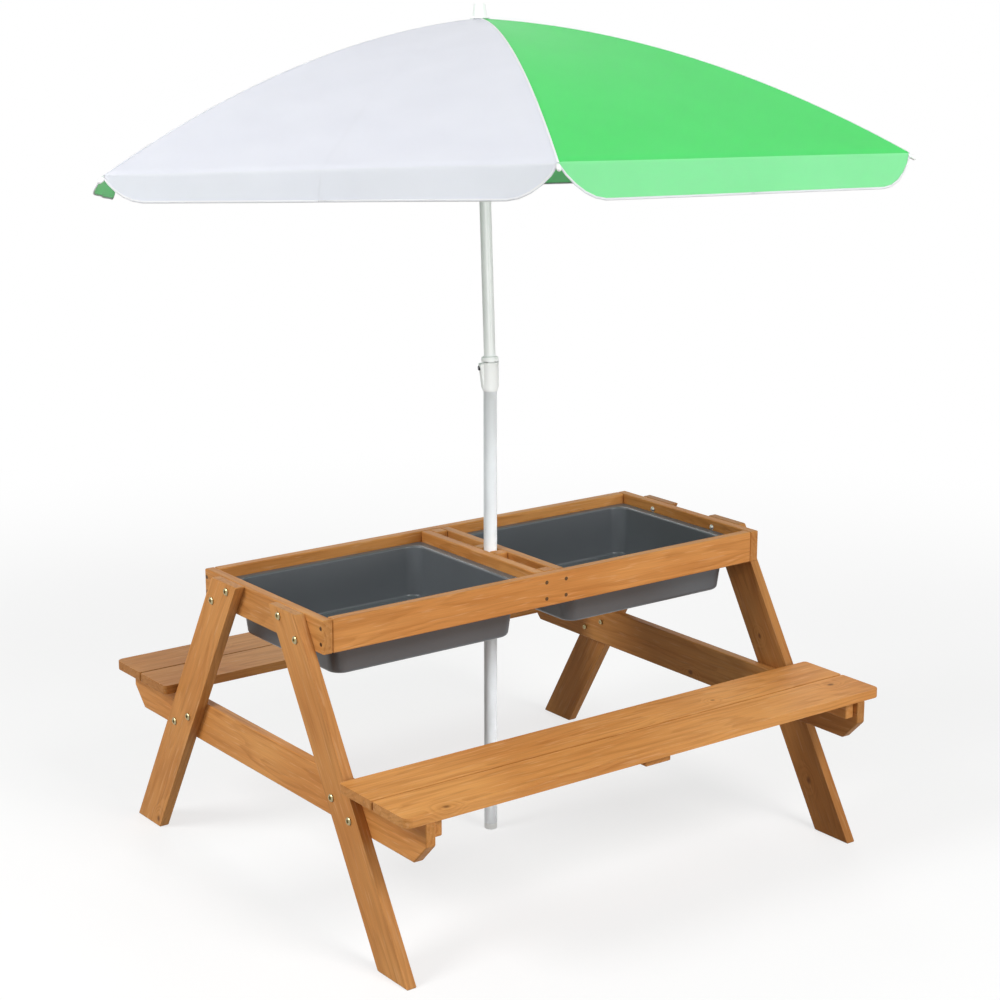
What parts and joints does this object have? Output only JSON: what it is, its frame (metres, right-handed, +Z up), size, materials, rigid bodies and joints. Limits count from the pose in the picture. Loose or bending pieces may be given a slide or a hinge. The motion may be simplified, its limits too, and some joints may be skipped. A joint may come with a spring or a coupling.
{
  "type": "children's picnic table",
  "caption": "Children's timber picnic table with benches, lift-out play tubs and a tilting, folding umbrella.",
  "frame": {"origin": "on the floor under the middle of the table, at the foot of the umbrella pole", "axes": "+Z up, X along the benches, -Y towards the front bench"},
  "size_m": [1.3753, 1.2164, 1.3769],
  "materials": {
    "stained_fir": "satin stain",
    "grey_plastic": "satin",
    "white_coated_steel": "satin powder coat",
    "white_plastic": "satin",
    "dark_steel": "satin",
    "white_cloth": "woven polyester",
    "green_cloth": "woven polyester"
  },
  "bodies": {
    "table": {"front_long_rail": "stained_fir", "back_long_rail": "stained_fir", "left_end_rail": "stained_fir", "right_end_rail": "stained_fir", "left_crossbar": "stained_fir", "right_crossbar": "stained_fir", "front_pole_spacer": "stained_fir", "back_pole_spacer": "stained_fir", "front_end_spacer": "stained_fir", "back_end_spacer": "stained_fir", "left_front_ledger": "stained_fir", "left_back_ledger": "stained_fir", "right_front_ledger": "stained_fir", "right_back_ledger": "stained_fir", "left_front_leg": "stained_fir", "left_back_leg": "stained_fir", "right_front_leg": "stained_fir", "right_back_leg": "stained_fir", "left_seat_support": "stained_fir", "right_seat_support": "stained_fir", "front_bench_inner_board": "stained_fir", "front_bench_outer_board": "stained_fir", "back_bench_inner_board": "stained_fir", "back_bench_outer_board": "stained_fir", "front_bench_left_cleat": "stained_fir", "front_bench_middle_cleat": "stained_fir", "front_bench_right_cleat": "stained_fir", "back_bench_left_cleat": "stained_fir", "back_bench_middle_cleat": "stained_fir", "back_bench_right_cleat": "stained_fir"},
    "left_tub": {"left_tub": "grey_plastic"},
    "right_tub": {"right_tub": "grey_plastic"},
    "pole_foot": {"pole_foot": "white_plastic"},
    "lower_pole": {"lower_pole": "white_coated_steel", "tilt_housing": "white_plastic", "tilt_pin": "dark_steel"},
    "tilt_button": {"tilt_button": "dark_steel"},
    "upper_pole": {"tilt_knuckle": "white_plastic", "upper_pole": "white_coated_steel", "crown": "white_plastic", "finial": "white_plastic", "canopy_panel_1": "green_cloth", "canopy_panel_2": "white_cloth", "canopy_panel_3": "green_cloth", "canopy_panel_4": "white_cloth", "canopy_panel_5": "green_cloth", "canopy_panel_6": "white_cloth"},
    "runner": {"runner": "white_plastic"},
    "rib_1": {"rib_1": "white_coated_steel"},
    "rib_2": {"rib_2": "white_coated_steel"},
    "rib_3": {"rib_3": "white_coated_steel"},
    "rib_4": {"rib_4": "white_coated_steel"},
    "rib_5": {"rib_5": "white_coated_steel"},
    "rib_6": {"rib_6": "white_coated_steel"},
    "stretcher_1": {"stretcher_1": "white_coated_steel"},
    "stretcher_2": {"stretcher_2": "white_coated_steel"},
    "stretcher_3": {"stretcher_3": "white_coated_steel"},
    "stretcher_4": {"stretcher_4": "white_coated_steel"},
    "stretcher_5": {"stretcher_5": "white_coated_steel"},
    "stretcher_6": {"stretcher_6": "white_coated_steel"}
  },
  "joints": [
    {"name": "left_tub_lift", "type": "slide", "parent": "table", "child": "left_tub", "axis": [0, 0, 1], "range_m": [0, 0.11]},
    {"name": "right_tub_lift", "type": "slide", "parent": "table", "child": "right_tub", "axis": [0, 0, 1], "range_m": [0, 0.11]},
    {"name": "umbrella_lift", "type": "slide", "parent": "table", "child": "pole_foot", "axis": [0, 0, 1], "range_m": [0, 0.3]},
    {"name": "umbrella_turn", "type": "hinge", "parent": "pole_foot", "child": "lower_pole", "pos_m": [0, 0, 0], "axis": [0, 0, 1], "continuous": true},
    {"name": "tilt_button_press", "type": "slide", "parent": "lower_pole", "child": "tilt_button", "axis": [0.9426, -0.3338, 0], "range_m": [0, 0.003], "stiffness_N_per_m": 600},
    {"name": "umbrella_tilt", "type": "hinge", "parent": "lower_pole", "child": "upper_pole", "pos_m": [0, 0, 0.8005], "axis": [0.9426, -0.3338, 0], "range_deg": [-10.5, 5.5]},
    {"name": "canopy_fold", "type": "slide", "parent": "upper_pole", "child": "runner", "axis": [-0.032, -0.0903, -0.9954], "range_m": [0, 0.3585], "deforming": ["canopy_panel_1", "canopy_panel_2", "canopy_panel_3", "canopy_panel_4", "canopy_panel_5", "canopy_panel_6"]},
    {"name": "rib_1_fold", "type": "hinge", "parent": "upper_pole", "child": "rib_1", "pos_m": [0.00993, 0.03512, 1.34381], "axis": [0.8832, -0.4688, 0.0142], "range_deg": [0, 65.73]},
    {"name": "rib_2_fold", "type": "hinge", "parent": "upper_pole", "child": "rib_2", "pos_m": [0.02591, 0.03565, 1.34325], "axis": [0.8468, 0.5265, -0.075], "range_deg": [0, 65.73]},
    {"name": "rib_3_fold", "type": "hinge", "parent": "upper_pole", "child": "rib_3", "pos_m": [0.0334, 0.04971, 1.34173], "axis": [-0.0363, 0.9954, -0.0892], "range_deg": [0, 65.73]},
    {"name": "rib_4_fold", "type": "hinge", "parent": "upper_pole", "child": "rib_4", "pos_m": [0.0249, 0.06323, 1.34078], "axis": [-0.8832, 0.4688, -0.0142], "range_deg": [0, 65.73]},
    {"name": "rib_5_fold", "type": "hinge", "parent": "upper_pole", "child": "rib_5", "pos_m": [0.00892, 0.0627, 1.34134], "axis": [-0.8468, -0.5265, 0.075], "range_deg": [0, 65.73]},
    {"name": "rib_6_fold", "type": "hinge", "parent": "upper_pole", "child": "rib_6", "pos_m": [0.00143, 0.04864, 1.34286], "axis": [0.0363, -0.9954, 0.0892], "range_deg": [0, 65.73]},
    {"name": "stretcher_1_fold", "type": "hinge", "parent": "rib_1", "child": "stretcher_1", "pos_m": [-0.09733, -0.16765, 1.3199], "axis": [0.8832, -0.4688, 0.0142], "range_deg": [-131.45, 0]},
    {"name": "stretcher_2_fold", "type": "hinge", "parent": "rib_2", "child": "stretcher_2", "pos_m": [0.14447, -0.15959, 1.3114], "axis": [0.8468, 0.5265, -0.075], "range_deg": [-131.45, 0]},
    {"name": "stretcher_3_fold", "type": "hinge", "parent": "rib_3", "child": "stretcher_3", "pos_m": [0.25776, 0.05312, 1.28845], "axis": [-0.0363, 0.9954, -0.0892], "range_deg": [-131.45, 0]},
    {"name": "stretcher_4_fold", "type": "hinge", "parent": "rib_4", "child": "stretcher_4", "pos_m": [0.12924, 0.25777, 1.27401], "axis": [-0.8832, 0.4688, -0.0142], "range_deg": [-131.45, 0]},
    {"name": "stretcher_5_fold", "type": "hinge", "parent": "rib_5", "child": "stretcher_5", "pos_m": [-0.11256, 0.24971, 1.28251], "axis": [-0.8468, -0.5265, 0.075], "range_deg": [-131.45, 0]},
    {"name": "stretcher_6_fold", "type": "hinge", "parent": "rib_6", "child": "stretcher_6", "pos_m": [-0.22585, 0.037, 1.30546], "axis": [0.0363, -0.9954, 0.0892], "range_deg": [-131.45, 0]}
  ],
  "couplings": [
    {"joint": "rib_1_fold", "follows": "canopy_fold", "rad_per_m": 3.1993},
    {"joint": "rib_2_fold", "follows": "canopy_fold", "rad_per_m": 3.1993},
    {"joint": "rib_3_fold", "follows": "canopy_fold", "rad_per_m": 3.1993},
    {"joint": "rib_4_fold", "follows": "canopy_fold", "rad_per_m": 3.1993},
    {"joint": "rib_5_fold", "follows": "canopy_fold", "rad_per_m": 3.1993},
    {"joint": "rib_6_fold", "follows": "canopy_fold", "rad_per_m": 3.1993},
    {"joint": "stretcher_1_fold", "follows": "canopy_fold", "rad_per_m": -6.3985},
    {"joint": "stretcher_2_fold", "follows": "canopy_fold", "rad_per_m": -6.3985},
    {"joint": "stretcher_3_fold", "follows": "canopy_fold", "rad_per_m": -6.3985},
    {"joint": "stretcher_4_fold", "follows": "canopy_fold", "rad_per_m": -6.3985},
    {"joint": "stretcher_5_fold", "follows": "canopy_fold", "rad_per_m": -6.3985},
    {"joint": "stretcher_6_fold", "follows": "canopy_fold", "rad_per_m": -6.3985}
  ]
}
